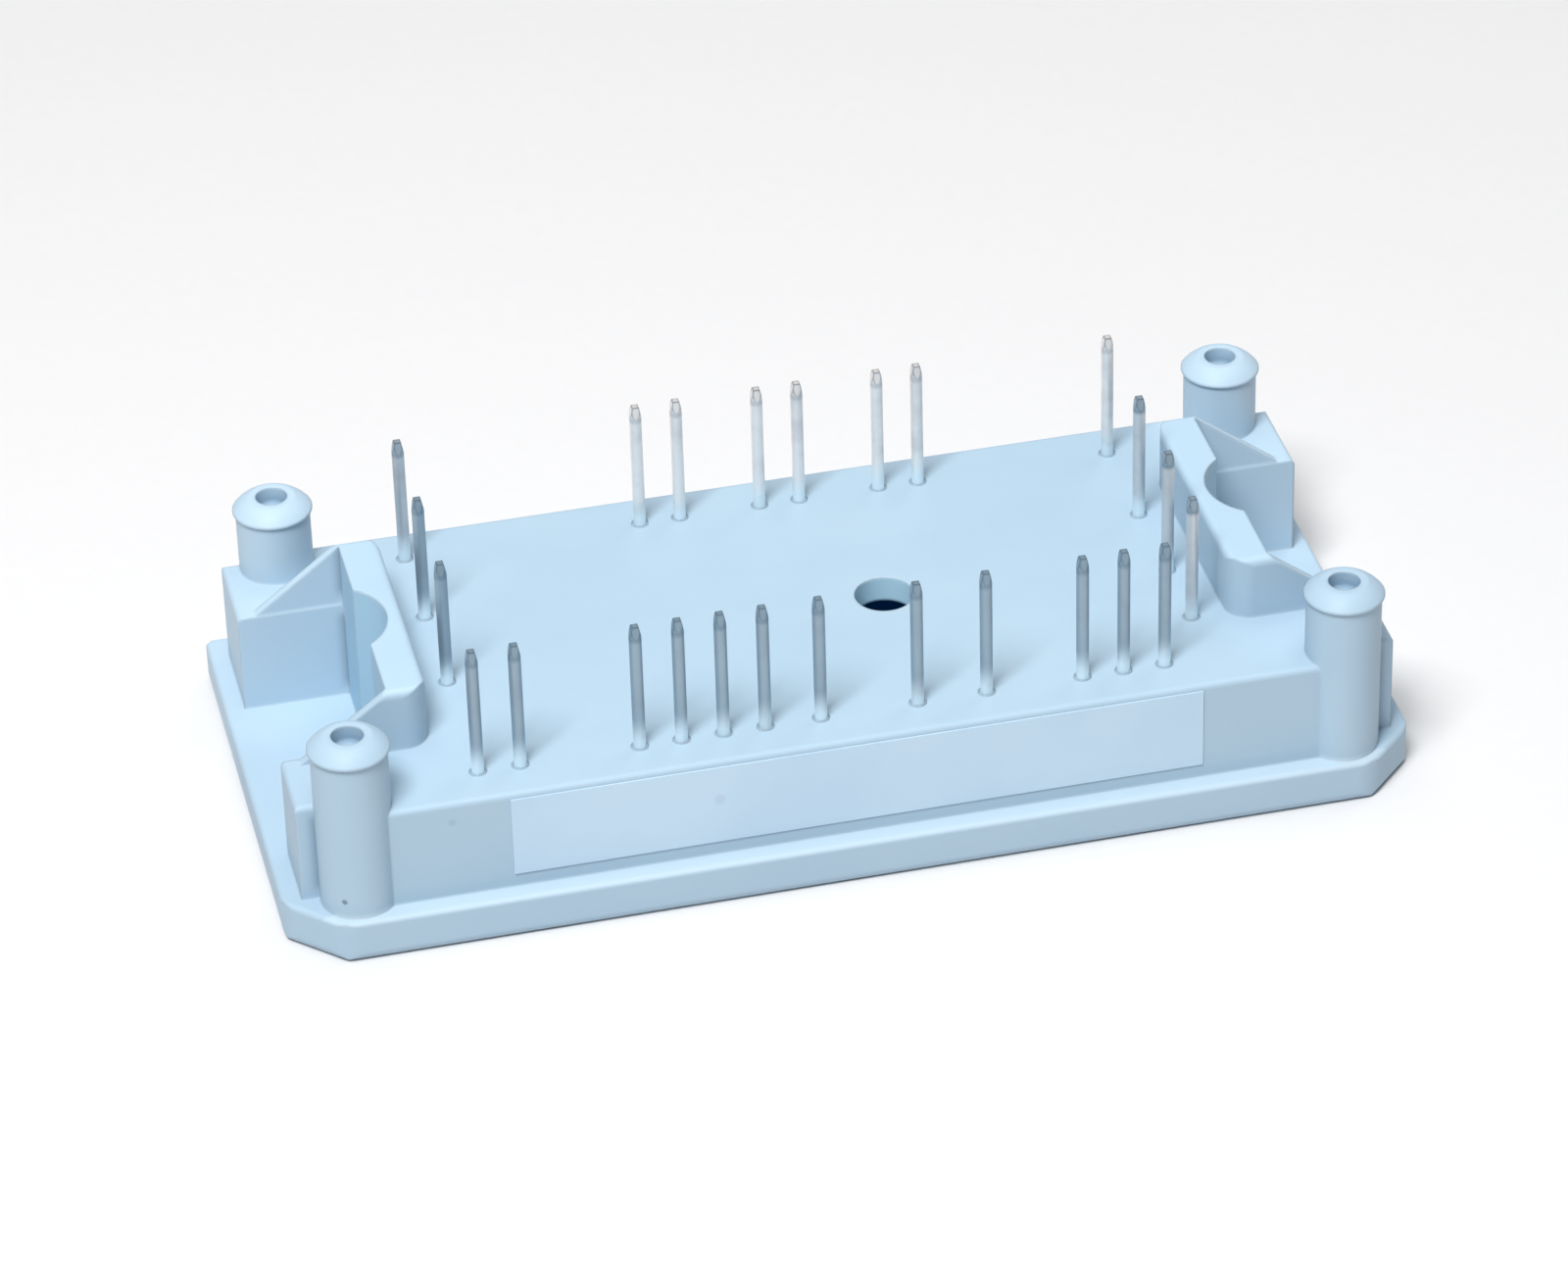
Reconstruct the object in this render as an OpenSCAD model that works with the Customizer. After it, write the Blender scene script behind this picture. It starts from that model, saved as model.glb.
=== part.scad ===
// Converter-brake-inverter power module: a moulded housing that closes over a
// copper-clad ceramic substrate, with contact pins standing up through its deck.
// Millimetres, origin at the middle of the underside, X along the length, Z up.

/* [Flange] */
// Length over the ends of the flange
body_l = 82; // [80:0.5:90]
// Width over the sides of the flange
body_w = 37.4; // [36.6:0.2:44]
// Height of the flange's top face
flange_h = 3.3; // [2.6:0.1:4.5]
// Size of the 45 degree cut at each corner of the label's side
corner_cut = 3.8; // [2:0.1:4.7]
// Size of the small 45 degree cut at each corner of the far side
far_corner_cut = 0.4; // [0.2:0.1:4.7]
// Rounding of the flange's upright edges beside the near cuts
corner_soft = 2.5; // [0.5:0.1:4]
// Radius of the flange's top edges
flange_round = 0.35; // [0.1:0.05:0.6]
// Radius of the flange's bottom edges
foot_round = 0.7; // [0.2:0.05:1]

/* [Box] */
// Step from the flange's side to the box's long wall
ledge = 1.55; // [1:0.05:2]
// Height of the deck above the underside
deck_h = 11.1; // [9.5:0.1:13]
// Thickness of the deck
deck_t = 2; // [1.4:0.1:2.6]
// Thickness of the box's walls
wall_t = 1.5; // [1:0.1:1.8]
// Radius of the deck's edges
deck_round = 0.4; // [0.2:0.05:0.8]
// Diameter of the gel filling hole in the deck
fill_hole_d = 4.3; // [3:0.1:6]
// Place of the filling hole along the length
fill_hole_x = 6; // [4:0.5:6.5]

/* [Screw pockets] */
// Distance from the flange's end to the pocket's inner wall
pocket_depth = 9.1; // [8.6:0.1:9.6]
// Width of the pocket
pocket_w = 18.2; // [14:0.2:19]
// Distance from the flange's end to the screw's axis
screw_inset = 6.5; // [5.5:0.1:7]
// Diameter of the mounting screw's hole
screw_hole_d = 4.4; // [3.4:0.1:5]
// Radius of the groove that clears the screw's head
head_groove_r = 4.4; // [4.1:0.1:4.6]
// Wall left between the groove and the cavity
groove_wall = 1.2; // [0.8:0.1:1.4]
// Step from the flange's end to the corner blocks
end_ledge = 1.4; // [1:0.1:2.4]
// Step from the box's long wall to the corner blocks
block_setback = 2.25; // [1:0.05:3]
// Step from the far wall to the corner blocks' far face
far_block_setback = 0.75; // [0.4:0.05:3]
// Radius of the corner blocks' edges
block_round = 0.4; // [0.1:0.05:0.6]

/* [Screw towers] */
// Height of the towers' tops above the underside
tower_h = 16; // [13.5:0.1:16.8]
// Thickness of a tower along the length
tower_t = 2.9; // [2.6:0.1:3.4]
// Radius of a tower's two corners on the deck
tower_corner_r = 1.8; // [0.8:0.1:2.2]
// Radius of a tower's top edges
tower_round = 0.6; // [0.1:0.05:0.6]
// Thickness of the gussets beside the pocket
gusset_t = 0.7; // [0.5:0.05:1.2]
// How far a gusset runs out over its corner block
gusset_run = 6.4; // [4:0.1:7]
// Step from the pocket's side to the gusset's face
gusset_step = 0.12; // [0.05:0.01:0.3]

/* [Board posts] */
// Distance from the flange's end to a post's axis
post_inset_x = 5.35; // [5:0.05:5.8]
// Distance from the flange's side to a post's axis
post_inset_y = 3.2; // [3:0.05:3.6]
// Height of the posts' tops above the underside
post_h = 17; // [17:0.1:19]
// Diameter of a post's shaft
post_d = 5.4; // [4.6:0.1:5.6]
// Diameter of the collar at a post's top
collar_d = 5.8; // [5.7:0.05:6.2]
// Height of the collar
collar_h = 1.05; // [0.7:0.05:2]
// Height of the collar's straight rim
rim_h = 0.1; // [0.05:0.05:0.4]
// Radius of the dome that falls from the ring to the rim
dome_r = 3; // [2.4:0.1:6]
// Diameter of the flat ring that carries the board
ring_d = 3.4; // [3:0.1:3.8]
// Diameter of the blind hole for the board screw
board_hole_d = 2.3; // [1.6:0.1:2.5]
// Depth of the blind hole
board_hole_depth = 1.1; // [0.6:0.1:6]

/* [Pins] */
// Diameter of a contact pin
pin_d = 0.9; // [0.6:0.05:1.1]
// Height of the pins' points above the underside
pin_top = 21.2; // [19:0.1:24]
// Length of a pin's pointed end
pin_point = 1; // [0.8:0.1:2]
// Width left blunt at the very tip
pin_blunt = 0.5; // [0.1:0.05:0.6]
// Clearance round a pin in its deck hole
pin_clear = 0.15; // [0.1:0.05:0.3]
// Diameter of a pin's soldered foot
pin_foot_d = 1.6; // [1.2:0.1:1.8]
// Thickness of a pin's soldered foot
pin_foot_t = 0.4; // [0.2:0.05:0.8]
// Distance from the box's long wall to a row of pins
row_inset = 3.35; // [3:0.05:3.6]
// Distance from the cavity's end wall to a column of pins
column_inset = 2.4; // [1.8:0.1:2.8]
// Grid that neighbouring pins stand on
pin_grid = 3; // [2.5:0.1:3.2]

/* [Substrate] */
// Thickness of the ceramic tile
ceramic_t = 0.63; // [0.38:0.01:1]
// Thickness of the copper on either face
copper_t = 0.3; // [0.2:0.05:0.5]
// Width of the seat under the walls that the tile closes
seat_w = 1.1; // [0.8:0.05:1.3]
// Clearance between the tile's rim and its recess
tile_clear = 0.15; // [0.05:0.01:0.25]
// Bare rim of ceramic round the copper
bare_rim = 0.9; // [0.5:0.05:1.5]
// Gap between copper islands
island_gap = 0.6; // [0.4:0.05:1]
// Width of the adhesive bead under the walls
bead_w = 0.6; // [0.3:0.05:0.7]
// Depth of the bead's groove
bead_t = 0.35; // [0.2:0.05:0.6]

/* [Chips] */
// Side of a transistor chip
igbt_w = 4.6; // [3:0.1:5]
// Side of a freewheel diode chip
diode_w = 3; // [2:0.1:3.6]
// Side of a rectifier diode chip
rectifier_w = 2.5; // [1.8:0.1:2.6]
// Thickness of every chip
chip_t = 0.25; // [0.15:0.05:0.4]
// Length of the thermistor
ntc_l = 2; // [1.6:0.1:3]
// Width of the thermistor
ntc_w = 1.25; // [0.8:0.05:1.6]
// Height of the thermistor
ntc_t = 0.8; // [0.5:0.05:1.2]
// Diameter of a bond wire
wire_d = 0.3; // [0.2:0.05:0.4]
// Spacing of two bond wires side by side
wire_pitch = 1.2; // [0.6:0.1:1.6]
// Distance from a chip's or an island's edge to a wire's end
wire_inset = 0.6; // [0.4:0.1:0.8]
// Height of the gel's surface above the underside
gel_h = 5.2; // [4.6:0.1:6]

/* [Label] */
// Length of the blank label on the front wall
label_l = 49.8; // [30:0.1:56]
// Thickness of the label
label_t = 0.1; // [0.06:0.01:0.2]
// Gap between the label and the top of the plain wall
label_drop = 0.05; // [0:0.05:1]
// Gap between the label and the flange
label_foot = 1.05; // [0.5:0.05:2]

/* [Hidden] */
$fn = 64;
// Overlap that joins one moulded form to the next
root = 1;
// How far a cutter reaches past the face it opens
past = 1;

wall_y = body_w / 2 - ledge;
block_x = body_l / 2 - end_ledge;
block_near_y = wall_y - block_setback;
block_far_y = wall_y - far_block_setback;
pocket_x = body_l / 2 - pocket_depth;
screw_x = body_l / 2 - screw_inset;
tower_x = pocket_x - tower_t;
tower_y = pocket_w / 2 + gusset_step + gusset_t;
post_x = body_l / 2 - post_inset_x;
post_y = body_w / 2 - post_inset_y;

cavity_x = screw_x - head_groove_r - groove_wall;
cavity_y = wall_y - wall_t;
deck_low = deck_h - deck_t;
tile_x = cavity_x + seat_w;
tile_y = cavity_y + seat_w;
tile_top = copper_t + ceramic_t;
pad_top = tile_top + copper_t;
chip_top = pad_top + chip_t;

// Places of the pins along each row: the end groups keep their distance from the columns
row_y = wall_y - row_inset;
column_x = cavity_x - column_inset;
front_row = concat(
    [-column_x, -column_x + pin_grid],
    [for (i = [-5:-2]) i * pin_grid],
    [-2, 5, 10],
    [for (i = [2:-1:0]) column_x - 3.5 - i * pin_grid]
);
back_row = [for (i = [-3, -2, 0, 1, 3, 4]) i * pin_grid];
// Places of the lower pins in each column, the top one being level with the back row
left_column = [6, -2.5];
right_column = [5.2, -2.4, -8.6];
pins = concat(
    [for (x = front_row) [x, -row_y]],
    [for (x = back_row) [x, row_y]],
    [for (y = concat([row_y], left_column)) [-column_x, y]],
    [for (y = concat([row_y], right_column)) [column_x, y]]
);

// Copper pads under the pins, and the zone between them for the chips' islands
pad_w = pin_foot_d + island_gap;
zone_x = column_x - pad_w / 2 - island_gap;
zone_y = row_y - pad_w / 2 - island_gap;
// Five legs side by side: rectifier, brake and three phases
legs = 5;
leg_pitch = 2 * zone_x / legs;
leg_x = [for (i = [0:legs - 1]) (i - (legs - 1) / 2) * leg_pitch];
rectifier_leg = leg_x[0];
brake_leg = leg_x[1];
phase_legs = [leg_x[2], leg_x[3], leg_x[4]];
// Distance from an island's edge to the chips on it
chip_margin = 1;
igbt_y = island_gap / 2 + chip_margin + igbt_w / 2;
diode_y = zone_y - chip_margin - diode_w / 2;
rectifier_y = island_gap / 2 + chip_margin + rectifier_w / 2;
rectifier_pitch = leg_pitch / 3;
igbts = concat(
    [for (x = phase_legs) [x, igbt_y]],
    [for (x = phase_legs) [x, -igbt_y]],
    [[brake_leg, -igbt_y]]
);
diodes = concat(
    [for (x = phase_legs) [x, diode_y]],
    [for (x = phase_legs) [x, -diode_y]],
    [[brake_leg, diode_y]]
);
rectifiers = [
    for (side = [1, -1]) for (i = [-1:1]) [rectifier_leg + i * rectifier_pitch, side * rectifier_y]
];
// The thermistor bridges the gap between the tracks of two pins in the right column
ntc_y = (right_column[0] + right_column[1]) / 2;
// Height of a wire's arc as a share of its chord
wire_rise = 0.35;

// Extrudes an outline drawn across the width and the height along the length
module along_x(l) {
    rotate([90, 0, 90])
        linear_extrude(l, center = true)
            children();
}

// Extrudes an outline drawn along the length and the height across the width
module along_y(l) {
    rotate([90, 0, 0])
        linear_extrude(l, center = true)
            children();
}

// A section from z0 to z1 with its lower and upper corners rounded
module slab_section(w, z0, z1, r_low, r_high) {
    translate([-w / 2, z0 + r_low])
        square([w, z1 - z0 - r_low - r_high]);
    translate([-w / 2 + r_high, z0 + r_low])
        square([w - 2 * r_high, z1 - z0 - r_low]);
    if (r_low > 0)
        translate([-w / 2 + r_low, z0])
            square([w - 2 * r_low, z1 - z0 - r_high]);
    for (side = [-1, 1]) {
        translate([side * (w / 2 - r_high), z1 - r_high])
            circle(r_high);
        if (r_low > 0)
            translate([side * (w / 2 - r_low), z0 + r_low])
                circle(r_low);
    }
}

// A block whose four sides roll over into its top, and into its foot where r_low is set
module rolled_block(l, w, z0, z1, r_high, r_low = 0) {
    intersection() {
        along_x(l + past)
            slab_section(w, z0, z1, r_low, r_high);
        along_y(w + past)
            slab_section(l, z0, z1, r_low, r_high);
    }
}

// A plain block centred over the origin from z0 to z1
module block(l, w, z0, z1) {
    translate([-l / 2, -w / 2, z0])
        cube([l, w, z1 - z0]);
}

module both_ends() {
    for (end = [0, 1])
        mirror([end, 0, 0])
            children();
}

module four_corners() {
    both_ends()
        for (side = [0, 1])
            mirror([0, side, 0])
                children();
}

// Flange: a rolled block whose corners are cut by two more rolled slabs set at 45 degrees
module flange() {
    diagonal = (body_l + body_w - corner_cut - far_corner_cut) / sqrt(2);
    shift = (corner_cut - far_corner_cut) / 2 / sqrt(2);
    intersection() {
        rolled_block(body_l, body_w, 0, flange_h, flange_round, foot_round);
        corner_slab(45, diagonal, shift);
        corner_slab(-45, diagonal, shift);
        linear_extrude(flange_h)
            flange_plan();
    }
}

// Plan of the flange: the upright edges beside the near cuts are rounded
module flange_plan() {
    half_l = body_l / 2;
    half_w = body_w / 2;
    // an arc ends this far from the edge that it rounds
    reach = corner_soft * tan(22.5);
    lean = corner_soft / sqrt(2);
    side_mid = [half_l - corner_soft, corner_cut + reach - half_w];
    front_mid = [half_l - corner_cut - reach, corner_soft - half_w];
    for (side = [0, 1])
        mirror([side, 0]) {
            polygon([
                [-past, half_w],
                [-past, -half_w],
                [front_mid[0], -half_w],
                front_mid + [lean, -lean],
                side_mid + [lean, -lean],
                [half_l, side_mid[1]],
                [half_l, half_w]
            ]);
            translate(side_mid)
                circle(corner_soft);
            translate(front_mid)
                circle(corner_soft);
        }
}

// A rolled slab as wide as the flange is across two of its opposite corners
module corner_slab(turn, diagonal, shift) {
    rotate([0, 0, turn])
        translate([0, shift, 0])
            along_x(body_l + body_w)
                slab_section(diagonal, 0, flange_h, foot_round, flange_round);
}

// Post: shaft with a domed collar and a flat ring that the board rests on
module post() {
    rotate_extrude()
        difference() {
            union() {
                translate([0, flange_h - root])
                    square([post_d / 2, post_h - collar_h + rim_h - flange_h + root]);
                translate([0, post_h - collar_h])
                    collar_section();
            }
            translate([0, post_h - board_hole_depth])
                square([board_hole_d / 2, board_hole_depth + past]);
        }
}

// Half section of a collar: an arc falls from the ring's edge to the top of the rim
module collar_section() {
    fall = collar_h - rim_h;
    run = (collar_d - ring_d) / 2;
    chord = norm([run, fall]);
    depth = sqrt(pow(dome_r, 2) - pow(chord / 2, 2));
    intersection() {
        square([collar_d / 2, collar_h]);
        translate([(ring_d + run) / 2 - depth * fall / chord, rim_h + fall / 2 - depth * run / chord])
            circle(dome_r);
    }
}

// Screw tower on the deck's end, with one gusset down each side of the pocket
module tower() {
    rise = tower_h - deck_h + root;
    intersection() {
        union() {
            intersection() {
                translate([0, 0, deck_h - root])
                    linear_extrude(rise)
                        tower_plan();
                along_y(2 * tower_y)
                    tower_side();
            }
            for (side = [-1, 1])
                translate([0, side * (tower_y - gusset_t / 2), 0])
                    along_y(gusset_t)
                        gusset_outline();
        }
        along_x(body_l)
            slab_section(2 * tower_y, deck_h - root, tower_h, 0, tower_round);
    }
}

// Plan of a tower, with its two corners on the deck rounded
module tower_plan() {
    translate([tower_x + tower_corner_r, -tower_y])
        square([tower_t - tower_corner_r, 2 * tower_y]);
    translate([tower_x, -tower_y + tower_corner_r])
        square([tower_t, 2 * (tower_y - tower_corner_r)]);
    for (side = [-1, 1])
        translate([tower_x + tower_corner_r, side * (tower_y - tower_corner_r)])
            circle(tower_corner_r);
}

// A tower seen from the side, with its top edge on the deck's side rounded
module tower_side() {
    translate([tower_x, deck_h - root])
        square([tower_t, tower_h - deck_h + root - tower_round]);
    translate([tower_x + tower_round, deck_h - root])
        square([tower_t - tower_round, tower_h - deck_h + root]);
    translate([tower_x + tower_round, tower_h - tower_round])
        circle(tower_round);
}

// A gusset seen from the side, sloping from its tower down to the corner block
module gusset_outline() {
    inner_x = pocket_x - tower_round;
    polygon([
        [inner_x, deck_h - root],
        [inner_x, tower_h],
        [pocket_x, tower_h],
        [pocket_x + gusset_run, deck_h],
        [pocket_x + gusset_run, deck_h - root]
    ]);
}

// Screw pocket: open to the end, with a groove for the screw's head and its hole below
module pocket() {
    translate([pocket_x, -pocket_w / 2, flange_h])
        cube([pocket_depth + past, pocket_w, deck_h - flange_h + past]);
    translate([screw_x, 0, flange_h])
        cylinder(r = head_groove_r, h = tower_h - flange_h + past);
    translate([screw_x, 0, -past])
        cylinder(d = screw_hole_d, h = flange_h + 2 * past);
}

// Housing: one moulding of flange, box, corner blocks, towers and posts
module housing() {
    color("lightblue")
        difference() {
            union() {
                flange();
                rolled_block(2 * post_x, 2 * wall_y, flange_h - root, deck_h, deck_round);
                difference() {
                    translate([0, (block_far_y - block_near_y) / 2, 0])
                        rolled_block(2 * block_x, block_near_y + block_far_y, flange_h - root, deck_h, block_round);
                    both_ends()
                        translate([pocket_x, -pocket_w / 2, flange_h])
                            cube([pocket_depth + past, pocket_w, deck_h - flange_h + past]);
                }
                both_ends()
                    tower();
                four_corners()
                    translate([post_x, post_y, 0])
                        post();
            }
            both_ends()
                pocket();
            block(2 * cavity_x, 2 * cavity_y, -past, deck_low);
            block(2 * (tile_x + tile_clear), 2 * (tile_y + tile_clear), -past, tile_top);
            bead_ring();
            translate([fill_hole_x, 0, deck_low - past])
                cylinder(d = fill_hole_d, h = deck_t + 2 * past);
            for (p = pins)
                translate([p[0], p[1], deck_low - past])
                    cylinder(d = pin_d + 2 * pin_clear, h = deck_t + 2 * past, $fn = 24);
        }
}

// Ring of adhesive in the groove between the seat and the tile
module bead_ring() {
    middle = (seat_w - bead_w) / 2;
    inner = [cavity_x + middle, cavity_y + middle];
    difference() {
        block(2 * (inner[0] + bead_w), 2 * (inner[1] + bead_w), tile_top, tile_top + bead_t);
        block(2 * inner[0], 2 * inner[1], tile_top - past, tile_top + bead_t + past);
    }
}

module adhesive_bead() {
    color("gainsboro")
        bead_ring();
}

module base_copper() {
    color("peru")
        block(2 * (tile_x - bare_rim), 2 * (tile_y - bare_rim), 0, copper_t);
}

module ceramic_tile() {
    color("whitesmoke")
        block(2 * tile_x, 2 * tile_y, copper_t, tile_top);
}

// An island of copper on the tile, from one corner to the other
module island(low, high) {
    translate([low[0], low[1], tile_top])
        cube([high[0] - low[0], high[1] - low[1], copper_t]);
}

// Copper tracks: a pad under each pin, two islands a leg and the thermistor's tails
module copper_tracks() {
    color("peru") {
        for (p = pins)
            island([p[0] - pad_w / 2, p[1] - pad_w / 2], [p[0] + pad_w / 2, p[1] + pad_w / 2]);
        for (x = leg_x) {
            half = (leg_pitch - island_gap) / 2;
            island([x - half, island_gap / 2], [x + half, zone_y]);
            island([x - half, -zone_y], [x + half, -island_gap / 2]);
        }
        island([column_x - ntc_w / 2, ntc_y + island_gap / 2], [column_x + ntc_w / 2, right_column[0]]);
        island([column_x - ntc_w / 2, right_column[1]], [column_x + ntc_w / 2, ntc_y - island_gap / 2]);
    }
}

// A chip of silicon soldered at a place on its island
module chip(place, w) {
    color("dimgray")
        translate([place[0], place[1], 0])
            block(w, w, pad_top, chip_top);
}

module thermistor() {
    color("darkslategray")
        translate([column_x, ntc_y, 0])
            block(ntc_w, ntc_l, pad_top, pad_top + ntc_t);
}

// A bond wire's arc between two places at the height of the chips' faces
module arc_wire(from, to) {
    span = to - from;
    chord = norm(span);
    rise = wire_rise * chord;
    arc_r = (pow(chord, 2) / 4 + pow(rise, 2)) / (2 * rise);
    translate([(from[0] + to[0]) / 2, (from[1] + to[1]) / 2, chip_top + rise - arc_r])
        rotate([90, 0, atan2(span[1], span[0])])
            rotate_extrude($fn = 48)
                translate([arc_r, 0])
                    circle(d = wire_d, $fn = 16);
}

// Pairs of places that the bond wires join: from transistor to diode in each half of a
// phase, and from the upper chips across to the lower island
near_igbt = igbt_y - igbt_w / 2 + wire_inset;
far_igbt = igbt_y + igbt_w / 2 - wire_inset;
lower_island = -island_gap / 2 - wire_inset;
wire_ends = concat(
    [for (x = phase_legs) for (side = [-1, 1]) for (half = [-1, 1])
        let (wire_x = x + side * wire_pitch / 2)
            [[wire_x, half * far_igbt], [wire_x, half * diode_y]]],
    [for (x = phase_legs) for (side = [-1, 1])
        let (wire_x = x + side * wire_pitch / 2)
            [[wire_x, near_igbt], [wire_x, lower_island]]],
    [for (place = rectifiers) if (place[1] > 0) [place, [place[0], lower_island]]]
);

module bond_wires() {
    color("silver")
        difference() {
            intersection() {
                for (ends = wire_ends)
                    arc_wire(ends[0], ends[1]);
                block(body_l, body_w, pad_top, deck_h);
            }
            chips();
        }
}

module chips() {
    for (place = igbts)
        chip(place, igbt_w);
    for (place = diodes)
        chip(place, diode_w);
    for (place = rectifiers)
        chip(place, rectifier_w);
}

// Silicone gel poured over the substrate, round everything that stands on it
module gel() {
    color("lightcyan")
        difference() {
            block(2 * cavity_x, 2 * cavity_y, tile_top, gel_h);
            copper_tracks();
            chips();
            thermistor();
            bond_wires();
            for (p = pins)
                pin(p);
        }
}

// One contact pin: a round wire with a four-sided point, on a soldered foot
module pin(place) {
    color("silver")
        translate([place[0], place[1], 0]) {
            intersection() {
                translate([0, 0, pad_top])
                    cylinder(d = pin_d, h = pin_top - pad_top, $fn = 24);
                along_x(pin_d)
                    pin_outline();
                along_y(pin_d)
                    pin_outline();
            }
            translate([0, 0, pad_top])
                cylinder(d = pin_foot_d, h = pin_foot_t, $fn = 24);
        }
}

// A pin's wire seen square on to two sides of its point
module pin_outline() {
    polygon([
        [-pin_d / 2, pad_top],
        [pin_d / 2, pad_top],
        [pin_d / 2, pin_top - pin_point],
        [pin_blunt / 2, pin_top],
        [-pin_blunt / 2, pin_top],
        [-pin_d / 2, pin_top - pin_point]
    ]);
}

// Blank label on the front wall, between the flange and the deck's rounded edge
module label() {
    low = flange_h + label_foot;
    high = deck_h - deck_round - label_drop;
    color("aliceblue")
        translate([-label_l / 2, -wall_y - label_t, low])
            cube([label_l, label_t, high - low]);
}

housing();
label();
adhesive_bead();
base_copper();
ceramic_tile();
copper_tracks();
thermistor();
bond_wires();
gel();
for (i = [1:len(igbts)])
    chip(igbts[i - 1], igbt_w);
for (i = [1:len(diodes)])
    chip(diodes[i - 1], diode_w);
for (i = [1:len(rectifiers)])
    chip(rectifiers[i - 1], rectifier_w);
for (i = [1:len(pins)])
    pin(pins[i - 1]);
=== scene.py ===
import math

import bmesh
import bpy
from mathutils import Matrix, Vector


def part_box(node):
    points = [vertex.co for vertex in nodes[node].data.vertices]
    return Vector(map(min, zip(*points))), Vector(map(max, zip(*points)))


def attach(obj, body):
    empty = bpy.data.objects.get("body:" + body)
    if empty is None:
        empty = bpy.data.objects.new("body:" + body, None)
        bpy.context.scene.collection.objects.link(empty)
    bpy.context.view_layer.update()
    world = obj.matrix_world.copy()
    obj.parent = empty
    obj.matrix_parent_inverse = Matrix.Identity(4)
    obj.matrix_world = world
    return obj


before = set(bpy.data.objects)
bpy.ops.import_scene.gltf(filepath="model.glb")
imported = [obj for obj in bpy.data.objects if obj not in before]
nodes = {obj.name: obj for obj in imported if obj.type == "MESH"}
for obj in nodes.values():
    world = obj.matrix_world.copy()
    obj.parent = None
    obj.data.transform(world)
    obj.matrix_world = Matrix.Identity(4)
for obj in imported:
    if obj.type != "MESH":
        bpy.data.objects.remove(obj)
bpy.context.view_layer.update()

mm = 0.001
print("frame loaded:", len(nodes), "nodes")


# shader maths
class Socket:
    # wraps an output socket or a number, so that an expression adds Math nodes
    def __init__(self, shader, link):
        self.shader = shader
        self.link = link

    def join(self, operation, *others):
        return self.shader.maths(operation, self, *others)

    def __add__(self, other): return self.join("ADD", other)
    def __radd__(self, other): return self.join("ADD", other)
    def __sub__(self, other): return self.join("SUBTRACT", other)
    def __rsub__(self, other): return self.shader.maths("SUBTRACT", other, self)
    def __mul__(self, other): return self.join("MULTIPLY", other)
    def __rmul__(self, other): return self.join("MULTIPLY", other)
    def larger(self, other): return self.join("MAXIMUM", other)
    def size(self): return self.join("ABSOLUTE")

    # 0 below low, 1 above high, smooth between
    def ramp(self, low, high):
        return self.shader.node("ShaderNodeMapRange", {"interpolation_type": "SMOOTHSTEP"},
                                {"Value": self, "From Min": low, "From Max": high})


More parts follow.
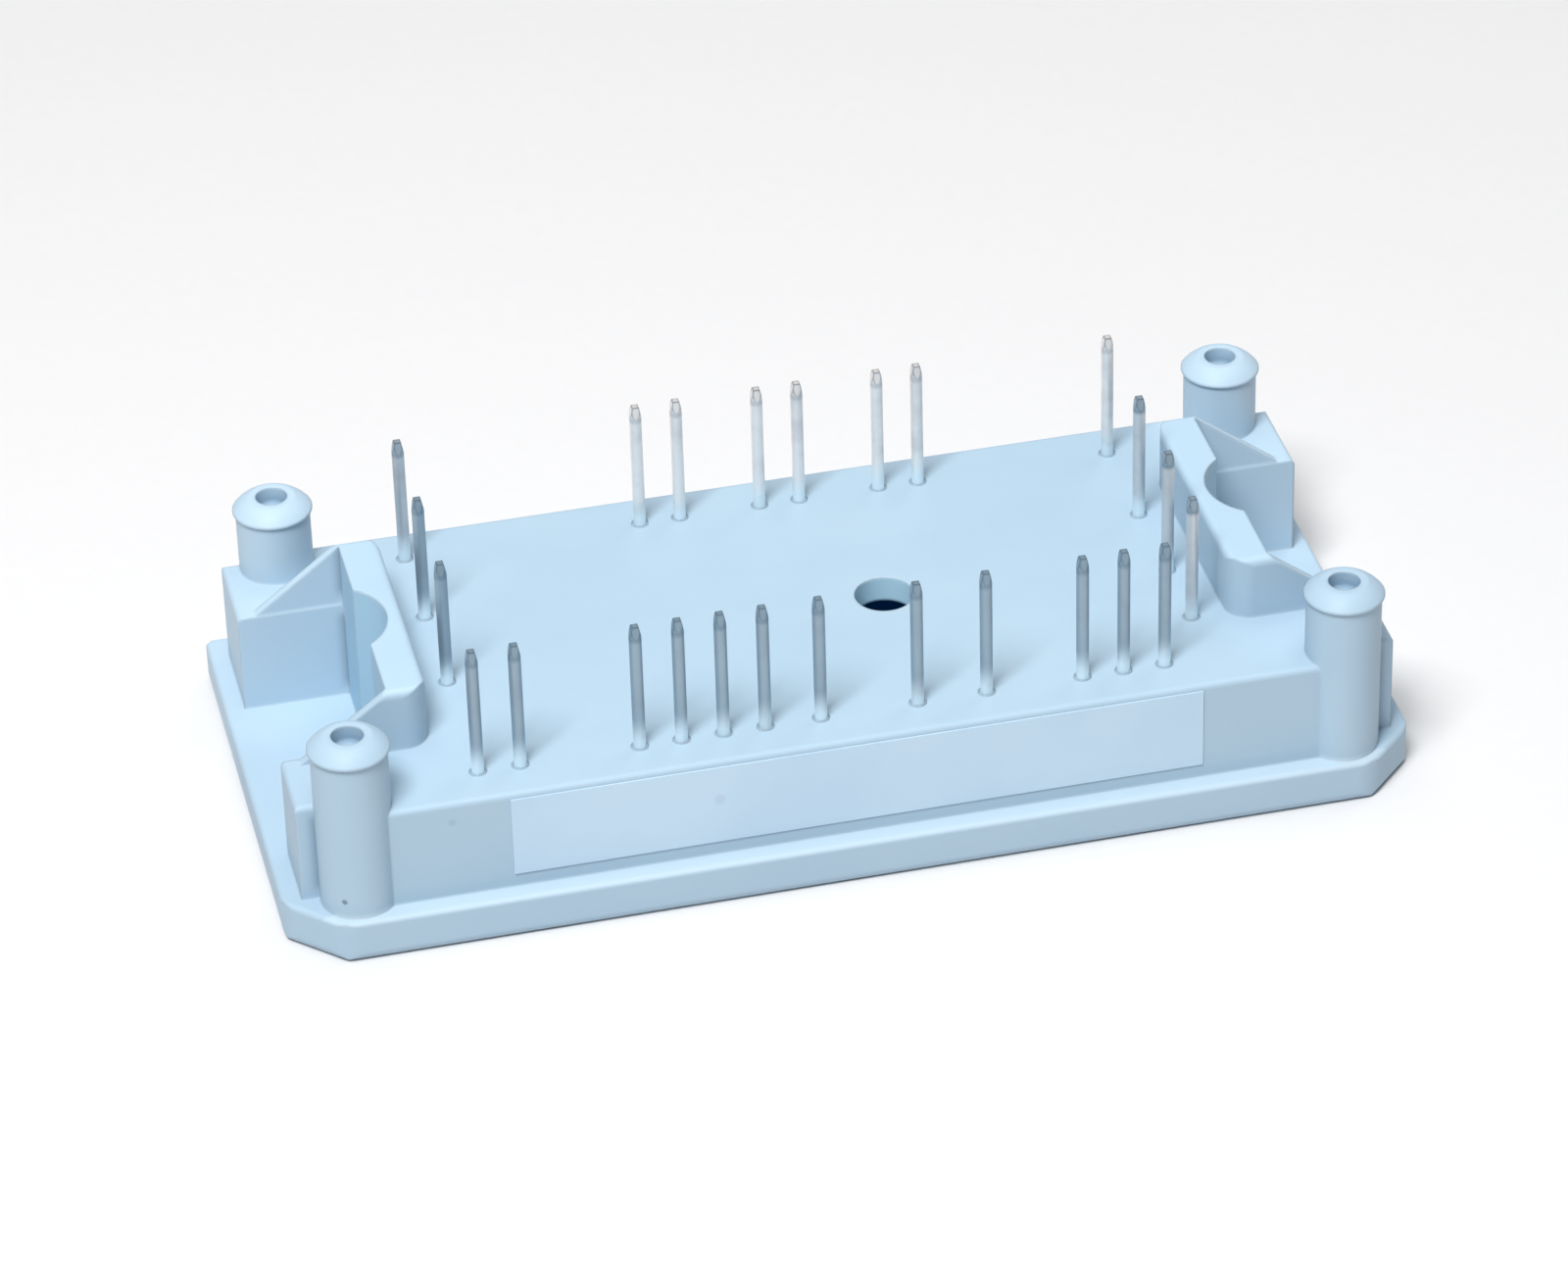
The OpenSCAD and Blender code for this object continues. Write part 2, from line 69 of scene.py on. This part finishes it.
class Shader:
    # one material with a Principled shader, whose nodes all come from node()
    def __init__(self, name, **fixed):
        self.material = bpy.data.materials.new(name)
        self.material.use_nodes = True
        self.tree = self.material.node_tree
        self.tree.nodes.clear()
        output = self.tree.nodes.new("ShaderNodeOutputMaterial")
        self.surface = self.tree.nodes.new("ShaderNodeBsdfPrincipled")
        self.tree.links.new(self.surface.outputs["BSDF"], output.inputs["Surface"])
        for socketName, value in fixed.items():
            self.set(socketName, value)

    def put(self, target, value):
        if isinstance(value, Socket):
            self.tree.links.new(value.link, target)
        elif hasattr(target.default_value, "__len__") and len(target.default_value) == 4 and len(value) == 3:
            target.default_value = (*value, 1)
        else:
            target.default_value = value

    def set(self, socketName, value):
        self.put(self.surface.inputs[socketName.replace("_", " ")], value)

    def node(self, kind, settings, inputs, output=0):
        made = self.tree.nodes.new(kind)
        for key, value in settings.items():
            setattr(made, key, value)
        for key, value in inputs.items():
            self.put(made.inputs[key], value)
        return Socket(self, made.outputs[output])

    def maths(self, operation, *values):
        return self.node("ShaderNodeMath", {"operation": operation}, dict(enumerate(values)))

    def place(self):
        return self.node("ShaderNodeTexCoord", {}, {}, "Object")

    def split(self, vector, axis):
        return self.node("ShaderNodeSeparateXYZ", {}, {"Vector": vector}, axis)

    def noise(self, scale, detail=3, roughness=0.5, stretch=None):
        vector = self.place()
        if stretch:
            vector = self.node("ShaderNodeMapping", {}, {"Vector": vector, "Scale": stretch})
        return self.node("ShaderNodeTexNoise", {}, {"Vector": vector, "Scale": scale, "Detail": detail,
                                                     "Roughness": roughness})

    def mix(self, amount, low, high):
        return self.node("ShaderNodeMix", {"data_type": "RGBA"}, {0: amount, 6: low, 7: high}, 2)

    # normals turned as if each edge had this radius
    def softened(self, radius):
        return self.node("ShaderNodeBevel", {"samples": 6}, {"Radius": radius})

    # 0 on a flat face, 1 where the softened normal has turned this far from the face's own
    def nearEdge(self, soft, full):
        own = self.node("ShaderNodeNewGeometry", {}, {}, "Normal")
        same = self.node("ShaderNodeVectorMath", {"operation": "DOT_PRODUCT"}, {0: soft, 1: own}, 1)
        return (1 - same).ramp(0.01, full)

    # 0 in the open, 1 in a corner that the piece itself closes in
    def enclosed(self, reach, low, high):
        settings = {"samples": 6, "only_local": True}
        return (1 - self.node("ShaderNodeAmbientOcclusion", settings, {"Distance": reach}, "AO")).ramp(low, high)

    # 1 between low and high on an axis, 0 outside them, with soft ends
    def band(self, value, low, high, soft):
        return value.ramp(low - soft, low + soft) * (1 - value.ramp(high - soft, high + soft))

    # 1 within a spot, 0 outside it
    def spot(self, centre, size):
        away = self.node("ShaderNodeVectorMath", {"operation": "DISTANCE"}, {0: self.place(), 1: centre}, 1)
        return 1 - away.ramp(size * 0.45, size)

    def bump(self, height, strength, distance, soft=None):
        inputs = {"Height": height, "Strength": strength, "Distance": distance}
        if soft:
            inputs["Normal"] = soft
        self.set("Normal", self.node("ShaderNodeBump", {}, inputs))


def tone(red, green, blue):
    # screen colour out of 255 to linear light
    shares = (part / 255 for part in (red, green, blue))
    return tuple(share / 12.92 if share < 0.04045 else ((share + 0.055) / 1.055) ** 2.4 for share in shares)


# materials
def mouldedPlastic():
    # a zone's numbers are mm: from the middle line, along y and up, each as low, high and soft edge
    look = {
        "pale": tone(171, 195, 212), "deep": tone(166, 191, 209), "wearAndEdgeHighlight": tone(186, 208, 224),
        "paintedCornerShade": tone(112, 142, 164), "speck": tone(84, 98, 112), "specular": 0.32,
        "cloud": (60, 4, 0.6), "grain": (4200, 2, 0.6), "flow": (220, 3, 0.5, (0.25, 1, 1)), "cloudShare": 0.7,
        "edge": 0.32 * mm, "edgeTurn": 0.22, "edgeHighlightShare": 0.8,
        "corner": 1.1 * mm, "cornerShadeRamp": (0.12, 0.6), "cornerShadeShare": 0.85,
        "flats": (3.3 * mm, 11.1 * mm), "flatReach": (0.3 * mm, 1.4 * mm),
        "roughness": 0.43, "grainRough": 0.10, "cloudRough": 0.05, "grainBump": 0.35, "grainDepth": 0.010 * mm,
        "specks": (((-37.01 * mm, -17.83 * mm, 4.7 * mm), 0.28 * mm, 0.7),
                   ((-29.05 * mm, -17.2 * mm, 9.5 * mm), 0.38 * mm, 0.14)),
        # painted light zones: lighter back blocks, bluer pocket walls, lighter tower tops, a painted highlight on
        # the front ledge and lighter fill-hole walls
        "paintedLightZones": {
            "back_blocks_painted_light": ((31, 60, 2), (5.5, 30, 3.5), (-9, 30, 1), tone(180, 204, 221), 1),
            "pocket_walls_painted_light": ((29.3, 33.6, 0.2), (-8.3, 8.3, 0.2), (3.7, 15.8, 0.15), tone(155, 198, 224), 0.7),
            "tower_tops_painted_light": ((27, 34, 0.5), (-10, 10, 0.5), (15.8, 16.4, 0.1), tone(176, 203, 222), 0.8),
            "front_ledge_painted_highlight": ((-9, 60, 1), (-30, -17.3, 0.1), (3.05, 3.6, 0.15), tone(186, 206, 219), 0.8),
            "fill_hole_painted_light": ((3.5, 8.5, 0.1), (-2.5, 2.5, 0.1), (8.5, 11, 0.05), tone(185, 224, 243), 1),
        },
    }
    s = Shader("housing_plastic", Specular_IOR_Level=look["specular"])
    cloud = s.noise(*look["cloud"]).ramp(0.3, 0.7)
    grain = s.noise(*look["grain"])
    flow = s.noise(*look["flow"]).ramp(0.35, 0.7)
    soft = s.softened(look["edge"])
    # painted shade: darkens the corners that the piece closes in
    paintedCornerShade = s.enclosed(look["corner"], *look["cornerShadeRamp"])
    # a painted highlight along the softened edges, kept out of the shaded corners
    wearAndEdgeHighlight = s.nearEdge(soft, look["edgeTurn"]) * (1 - paintedCornerShade)
    x, y, z = (s.split(s.place(), axis) for axis in "XYZ")
    aside = x.size()
    # the painted corner shade stays off corners along the deck or the flange's top, so only an upright corner is
    # darkened
    upright = 1
    for flat in look["flats"]:
        upright = (z - flat).size().ramp(*look["flatReach"]) * upright
    body = s.mix(cloud * look["cloudShare"] + flow * (1 - look["cloudShare"]), look["deep"], look["pale"])
    # painted light: some places take a lighter or bluer tone where the light falls differently, on the back
    # blocks, the pocket walls, the tower tops, the front ledge and the walls of the fill hole
    for across, along, up, hue, amount in look["paintedLightZones"].values():
        mask = amount
        for value, limits in ((aside, across), (y, along), (z, up)):
            mask = s.band(value, *(limit * mm for limit in limits)) * mask
        body = s.mix(mask, body, hue)
    # painted highlight: convex edges take a paler tone
    body = s.mix(wearAndEdgeHighlight * look["edgeHighlightShare"], body, look["wearAndEdgeHighlight"])
    # painted shade in the upright inside corners
    body = s.mix(paintedCornerShade * upright * look["cornerShadeShare"], body, look["paintedCornerShade"])
    for centre, size, depth in look["specks"]:
        body = s.mix(s.spot(centre, size) * depth, body, look["speck"])
    s.set("Base Color", body)
    s.set("Roughness", grain * look["grainRough"] + cloud * look["cloudRough"] + look["roughness"])
    s.bump(grain, look["grainBump"], look["grainDepth"], soft)
    return s.material


def labelFilm():
    look = {"paper": tone(190, 214, 232), "shade": tone(184, 209, 229), "dirt": tone(96, 112, 132),
            "specular": 0.5, "fibre": (900, 4, 0.6, (1, 1, 2.5)), "cloud": (90, 3),
            "rub": ((-10.15 * mm, -17.3 * mm, 7.95 * mm), 0.55 * mm), "rubShare": 0.12,
            "roughness": 0.44, "fibreRough": 0.12, "fibreBump": 0.2, "fibreDepth": 0.012 * mm}
    s = Shader("label_film", Specular_IOR_Level=look["specular"])
    fibre = s.noise(*look["fibre"])
    sheet = s.mix(s.noise(*look["cloud"]).ramp(0.35, 0.65), look["shade"], look["paper"])
    s.set("Base Color", s.mix(s.spot(*look["rub"]) * look["rubShare"], sheet, look["dirt"]))
    s.set("Roughness", fibre * look["fibreRough"] + look["roughness"])
    s.bump(fibre, look["fibreBump"], look["fibreDepth"])
    return s.material


def tinnedPin():
    # painted light: the shanks carry a painted reflection of the deck at the foot and a painted sheen along the
    # back row and in the right column, and stay dull in front; the tips, the shoulder and the tip edges carry
    # painted shade
    look = {"foot": tone(236, 250, 255), "shank": tone(152, 173, 187), "paintedBackRowSheen": tone(250, 246, 242),
            "point": tone(136, 160, 176), "line": tone(74, 98, 118), "stain": tone(128, 134, 146),
            "metallic": 0.6, "drawn": (900, 3, 0.6, (1, 1, 0.08)), "blotch": (260, 3, 0.6),
            "stainShare": 0.25, "drawnShare": 0.1,
            "footReflectionTop": (11.4 * mm, 13.8 * mm), "pointFrom": (20.0 * mm, 20.2 * mm), "pointShare": 0.8,
            "depth": (3 * mm, 14 * mm), "left": (-36 * mm, -14 * mm), "right": (24 * mm, 26 * mm),
            "rightColumnSheenShare": 0.5, "shoulder": (19.95 * mm, 20.35 * mm, 0.15 * mm), "shoulderShadeShare": 0.25,
            "edge": 0.2 * mm, "edgeTurn": 0.035, "tipEdgeShadeShare": 0.7,
            "roughness": 0.36, "drawnRough": 0.12, "stainRough": 0.08, "drawnBump": 0.3, "drawnDepth": 0.012 * mm}
    s = Shader("tinned_pin", Metallic=look["metallic"])
    x, y, z = (s.split(s.place(), axis) for axis in "XYZ")
    paintedBackRowSheen = y.ramp(*look["depth"]) * x.ramp(*look["left"])
    drawn = s.noise(*look["drawn"])
    stain = s.noise(*look["blotch"]).ramp(0.4, 0.75)
    soft = s.softened(look["edge"])
    pointed = z.ramp(*look["pointFrom"])
    # painted sheen on the back row and the right column
    body = s.mix(paintedBackRowSheen.larger(x.ramp(*look["right"]) * look["rightColumnSheenShare"]), look["shank"], look["paintedBackRowSheen"])
    # painted reflection of the deck at the foot
    body = s.mix(z.ramp(*look["footReflectionTop"]), look["foot"], body)
    body = s.mix(stain * look["stainShare"] + drawn * look["drawnShare"], body, look["stain"])
    # painted shade on the tips of the front pins
    body = s.mix(pointed * (1 - paintedBackRowSheen) * look["pointShare"], body, look["point"])
    # painted shade: a dark band at the tip's shoulder and dark lines along the tip edges
    body = s.mix(s.band(z, *look["shoulder"]) * look["shoulderShadeShare"], body, look["line"])
    body = s.mix(s.nearEdge(soft, look["edgeTurn"]) * pointed * look["tipEdgeShadeShare"], body, look["line"])
    s.set("Base Color", body)
    s.set("Roughness", drawn * look["drawnRough"] + stain * look["stainRough"] + look["roughness"])
    s.bump(drawn, look["drawnBump"], look["drawnDepth"])
    return s.material


def bareCopper():
    look = {"bright": tone(214, 140, 104), "aged": tone(176, 106, 76)}
    s = Shader("copper", Metallic=1.0)
    brushed = s.noise(1400, 3, 0.55, (0.05, 1, 1))
    patina = s.noise(75, 5, 0.62).ramp(0.4, 0.68)
    s.set("Base Color", s.mix(patina * 0.75 + brushed * 0.15, look["bright"], look["aged"]))
    s.set("Roughness", brushed * 0.16 + patina * 0.14 + 0.24)
    s.bump(brushed, 0.25, 0.01 * mm)
    return s.material


def alumina():
    look = {"white": tone(236, 234, 226), "warm": tone(222, 219, 209)}
    s = Shader("ceramic")
    grit = s.noise(3200, 3, 0.7)
    s.set("Base Color", s.mix(s.noise(150, 4).ramp(0.35, 0.7), look["white"], look["warm"]))
    s.set("Roughness", grit * 0.16 + 0.5)
    s.bump(grit, 0.3, 0.01 * mm)
    return s.material


def softSilicone():
    look = {"pale": tone(226, 226, 220), "grey": tone(206, 207, 203)}
    s = Shader("silicone", Specular_IOR_Level=0.4)
    lump = s.noise(480, 3)
    s.set("Base Color", s.mix(lump.ramp(0.35, 0.65), look["grey"], look["pale"]))
    s.set("Roughness", lump * 0.12 + 0.38)
    s.bump(lump, 0.4, 0.03 * mm)
    return s.material


def softGel():
    # the glow stands for the light that clear gel scatters back out of the fill hole
    look = {"deep": tone(48, 84, 130), "clear": tone(66, 104, 150), "glow": tone(0, 17, 40)}
    s = Shader("gel", Coat_Roughness=0.06, Emission_Color=look["glow"], Emission_Strength=1.0)
    swirl = s.noise(130, 3)
    s.set("Base Color", s.mix(swirl.ramp(0.3, 0.7), look["deep"], look["clear"]))
    s.set("Roughness", swirl * 0.08 + 0.1)
    s.bump(swirl, 0.25, 0.04 * mm)
    return s.material


def bareSilicon():
    look = {"face": tone(92, 94, 104), "edge": tone(60, 62, 72)}
    s = Shader("silicon", Metallic=0.85)
    cells = s.noise(2600, 2)
    s.set("Base Color", s.mix(cells.ramp(0.4, 0.6), look["edge"], look["face"]))
    s.set("Roughness", cells * 0.1 + 0.22)
    s.bump(cells, 0.15, 0.004 * mm)
    return s.material


def drawnAluminium():
    look = {"bright": tone(198, 200, 204), "pale": tone(222, 224, 226)}
    s = Shader("wire_aluminium", Metallic=1.0)
    drawn = s.noise(2600, 2)
    s.set("Base Color", s.mix(drawn, look["bright"], look["pale"]))
    s.set("Roughness", drawn * 0.12 + 0.28)
    s.bump(drawn, 0.2, 0.006 * mm)
    return s.material


def thermistorBody():
    look = {"dark": tone(60, 60, 62), "wearAndEdgeHighlight": tone(84, 84, 88)}
    s = Shader("thermistor_body")
    speck = s.noise(2400, 3)
    s.set("Base Color", s.mix(speck.ramp(0.4, 0.6), look["dark"], look["wearAndEdgeHighlight"]))
    s.set("Roughness", speck * 0.15 + 0.4)
    s.bump(speck, 0.3, 0.008 * mm)
    return s.material


makers = {
    "housing_plastic": mouldedPlastic, "label_film": labelFilm, "tinned_pin": tinnedPin,
    "copper": bareCopper, "ceramic": alumina, "silicone": softSilicone, "gel": softGel,
    "silicon": bareSilicon, "wire_aluminium": drawnAluminium, "thermistor_body": thermistorBody,
}
finishes = {name: make() for name, make in makers.items()}
print("materials made:", len(finishes))

finishOf = {
    "housing": "housing_plastic", "label": "label_film", "adhesive_bead": "silicone",
    "base_copper": "copper", "ceramic_tile": "ceramic", "copper_tracks": "copper",
    "thermistor": "thermistor_body", "bond_wires": "wire_aluminium", "gel": "gel",
}
for name, node in nodes.items():
    finish = finishOf.get(name) or ("silicon" if "chip" in name else "tinned_pin")
    node.data.materials.clear()
    node.data.materials.append(finishes[finish])
print("finishes given to", len(nodes), "nodes")


# new pieces
def pinLips():
    # the low moulded lip that closes the deck around each pin
    look = {"inner": 0.462 * mm, "outer": 0.66 * mm, "rise": 0.045 * mm, "sunk": 0.05 * mm, "deck": 11.1 * mm,
            "soft": 0.01 * mm, "foot": 0.97, "shoulder": (0.82, 0.62), "brow": 1.12, "steps": 32}
    base, top = look["deck"] - look["sunk"], look["deck"] + look["rise"]
    shoulder, shoulderRise = look["shoulder"]
    profile = ((look["inner"], base), (look["outer"], base),
               (look["outer"] * look["foot"], look["deck"] + look["soft"]),
               (look["outer"] * shoulder, look["deck"] + look["rise"] * shoulderRise),
               (look["inner"] * look["brow"], top), (look["inner"], top - look["soft"]))
    mesh = bmesh.new()
    for name in sorted(nodes):
        if name.startswith("pin_"):
            low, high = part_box(name)
            x, y = (low[0] + high[0]) / 2, (low[1] + high[1]) / 2
            section = [mesh.verts.new((x + radius, y, height)) for radius, height in profile]
            edges = [mesh.edges.new((section[i - 1], section[i])) for i in range(len(section))]
            bmesh.ops.spin(mesh, geom=section + edges, cent=(x, y, 0), axis=(0, 0, 1), angle=2 * math.pi,
                           steps=look["steps"], use_merge=True)
    for face in mesh.faces:
        face.smooth = True
    bmesh.ops.recalc_face_normals(mesh, faces=mesh.faces)
    data = bpy.data.meshes.new("pin_lips")
    mesh.to_mesh(data)
    mesh.free()
    piece = bpy.data.objects.new("pin_lips", data)
    bpy.context.collection.objects.link(piece)
    data.materials.append(finishes["housing_plastic"])
    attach(piece, "root")


pinLips()
print("pin lips made")


# floor, camera and lights
def floor():
    look = {"size": 3.0, "pale": tone(222, 222, 223), "shade": tone(219, 219, 220), "tooth": 700,
            "specular": 0.1, "roughness": 0.9}
    bpy.ops.mesh.primitive_plane_add(size=look["size"], location=(0, 0, 0))
    plane = bpy.context.object
    plane.name = "floor"
    s = Shader("floor_paper", Specular_IOR_Level=look["specular"], Roughness=look["roughness"])
    s.set("Base Color", s.mix(s.noise(look["tooth"]), look["shade"], look["pale"]))
    plane.data.materials.append(s.material)


def camera():
    view = {"azimuth": -12.95, "elevation": 34.20, "roll": -1.38, "across": 2.68, "up": 8.47,
            "distance": 481.6, "focal": 6754, "centre": (860.7, 628.9), "image": (1600, 1298), "sensor": 36,
            "clip": (0.01, 10)}
    azimuth, elevation, roll = (math.radians(view[angle]) for angle in ("azimuth", "elevation", "roll"))
    back = Vector((math.sin(azimuth) * math.cos(elevation), -math.cos(azimuth) * math.cos(elevation),
                   math.sin(elevation)))
    level = (-back).cross(Vector((0, 0, 1))).normalized()
    rise = level.cross(-back)
    right = math.cos(roll) * level + math.sin(roll) * rise
    top = -math.sin(roll) * level + math.cos(roll) * rise
    width, height = view["image"]
    data = bpy.data.cameras.new("camera")
    data.sensor_width = view["sensor"]
    data.lens = view["focal"] * view["sensor"] / width
    data.shift_x = (width / 2 - view["centre"][0]) / width
    data.shift_y = (view["centre"][1] - height / 2) / width
    data.clip_start, data.clip_end = view["clip"]
    made = bpy.data.objects.new("camera", data)
    bpy.context.collection.objects.link(made)
    spot = (back * view["distance"] + right * view["across"] + top * view["up"]) * mm
    turned = Matrix((right, top, back)).transposed().to_4x4()
    made.matrix_world = Matrix.Translation(spot) @ turned
    bpy.context.scene.camera = made


def softbox(name, spot, size, power, target):
    data = bpy.data.lights.new(name, "AREA")
    data.shape, data.size, data.energy = "SQUARE", size, power
    lamp = bpy.data.objects.new(name, data)
    bpy.context.collection.objects.link(lamp)
    lamp.location = spot
    lamp.rotation_euler = (Vector(target) - Vector(spot)).to_track_quat("-Z", "Y").to_euler()


def studio():
    # each lamp has its place, its size and its watts
    look = {"world": (1, 1, 1), "strength": 0.20, "aim": (0, 0, 0.008),
            "lamps": {"key_softbox": ((-0.17, -0.25, 0.52), 0.20, 3.45),
                      "top_softbox": ((0.02, 0.06, 0.80), 0.60, 2.55),
                      "back_softbox": ((0.40, 0.30, 0.45), 0.30, 0.4)}}
    bpy.context.scene.view_settings.view_transform = "Standard"
    world = bpy.data.worlds.new("studio")
    world.use_nodes = True
    bpy.context.scene.world = world
    background = world.node_tree.nodes["Background"]
    background.inputs["Color"].default_value = (*look["world"], 1)
    background.inputs["Strength"].default_value = look["strength"]
    for name, lamp in look["lamps"].items():
        softbox(name, *lamp, look["aim"])


floor()
camera()
studio()
print("floor, camera and lights placed")
